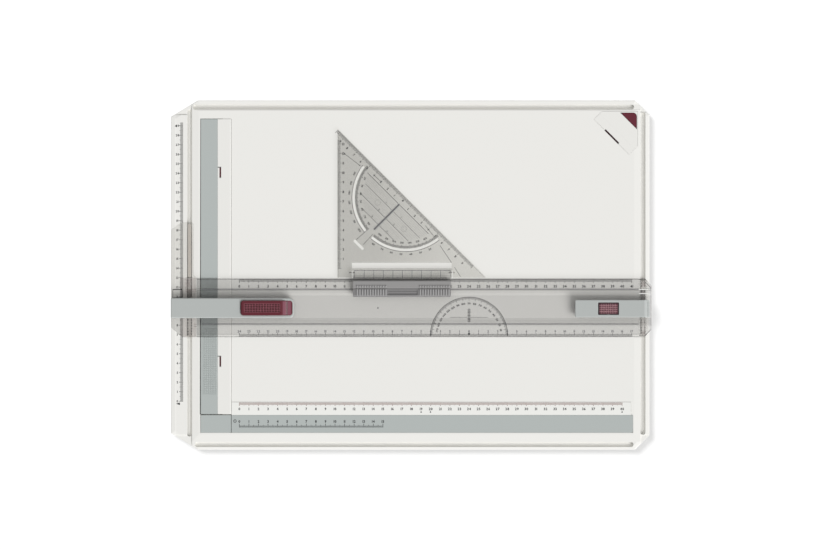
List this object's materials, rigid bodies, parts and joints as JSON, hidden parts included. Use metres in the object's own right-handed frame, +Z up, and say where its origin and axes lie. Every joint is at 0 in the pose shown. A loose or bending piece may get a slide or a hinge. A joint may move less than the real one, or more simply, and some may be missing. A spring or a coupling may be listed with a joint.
{
  "type": "t square",
  "caption": "Portable drawing board with a clear T-square rule captive in side grooves, a 45-degree set square that slides on the rule, paper clamps, a stop lever and a stop button.",
  "frame": {"origin": "centre of the overall footprint on the desk plane, under the feet", "axes": "+X along the long side to the user's right, +Y away from the user along the rule's travel, +Z up"},
  "size_m": [0.502, 0.365, 0.024],
  "materials": {
    "white_shell": "fine matt moulding",
    "white_lip": "satin",
    "scale_white": "smooth",
    "grey_plastic": "satin",
    "grey_satin": "satin",
    "grey_cover": "fine matt moulding",
    "grip_grey": "satin",
    "maroon_plastic": "satin",
    "smoke_clear": "clear smoke-tinted acrylic",
    "smoke_clear_square": "clear smoke-tinted acrylic",
    "smoke_clear_flap": "clear smoke-tinted acrylic, darker",
    "shoe_grey": "smooth low-friction plastic",
    "guide_brown": "smooth low-friction plastic",
    "steel": "bright",
    "foot_rubber": "matt",
    "brake_rubber": "matt"
  },
  "bodies": {
    "board": {"board_shell": "white_shell", "bottom_cover": "grey_cover", "cover_screws": "steel", "rubber_feet": "foot_rubber", "corner_block": "grey_plastic", "stop_rail": "grey_plastic", "scale_strip": "scale_white", "clamp_brackets": "maroon_plastic", "clamp_pins": "steel", "clamp_springs": "steel", "corner_pin": "steel", "corner_spring": "steel"},
    "paper_clamp": {"clamp_press_bar": "grey_plastic", "clamp_lip": "white_lip"},
    "corner_clamp": {"corner_flap": "white_lip", "corner_button": "maroon_plastic"},
    "rule": {"rule_blade": "smoke_clear", "head_plate": "smoke_clear", "head_wear_strip": "guide_brown", "guide_shoes_left": "shoe_grey", "head_cover_left": "grey_satin", "lever_pin": "steel", "lever_springs": "steel", "head_screws": "steel", "end_plate": "smoke_clear", "guide_shoes_right": "shoe_grey", "head_cover_right": "grey_satin", "button_springs": "steel"},
    "lever": {"stop_lever": "maroon_plastic"},
    "left_brake": {"brake_slider_left": "grey_cover", "brake_pad_left": "brake_rubber"},
    "button": {"stop_button": "maroon_plastic"},
    "right_brake": {"brake_slider_right": "grey_cover", "brake_pad_right": "brake_rubber"},
    "square": {"set_square": "smoke_clear_square", "square_grip": "grip_grey", "grip_scale": "smoke_clear_flap", "grip_pins": "smoke_clear_square"}
  },
  "joints": [
    {"name": "rule_slide", "type": "slide", "parent": "board", "child": "rule", "axis": [0, 1, 0], "range_m": [-0.1, 0.17]},
    {"name": "square_slide", "type": "slide", "parent": "rule", "child": "square", "axis": [1, 0, 0], "range_m": [-0.1026, 0.19]},
    {"name": "paper_clamp_rock", "type": "hinge", "parent": "board", "child": "paper_clamp", "pos_m": [-0.1996, 0, 0.01], "axis": [0, 1, 0], "range_deg": [-4, 0], "deforming": ["clamp_springs"]},
    {"name": "corner_clamp_rock", "type": "hinge", "parent": "board", "child": "corner_clamp", "pos_m": [0.21772, 0.15281, 0.0094], "axis": [0.7071, -0.7071, 0], "range_deg": [-4, 0], "deforming": ["corner_spring"]},
    {"name": "stop_lever_rock", "type": "hinge", "parent": "rule", "child": "lever", "pos_m": [-0.151, -0.0345, 0.0196], "axis": [0, 1, 0], "range_deg": [-4.8, 0], "deforming": ["lever_springs"]},
    {"name": "left_brake_slide", "type": "slide", "parent": "rule", "child": "left_brake", "axis": [1, 0, 0], "range_m": [0, 0.00025]},
    {"name": "stop_button_press", "type": "slide", "parent": "rule", "child": "button", "axis": [0, 0, 1], "range_m": [-0.0018, 0], "deforming": ["button_springs"]},
    {"name": "right_brake_slide", "type": "slide", "parent": "rule", "child": "right_brake", "axis": [1, 0, 0], "range_m": [-0.0004, 0]}
  ],
  "couplings": [
    {"joint": "left_brake_slide", "follows": "stop_lever_rock", "m_per_rad": -0.0026},
    {"joint": "right_brake_slide", "follows": "stop_button_press", "ratio": 0.2}
  ]
}
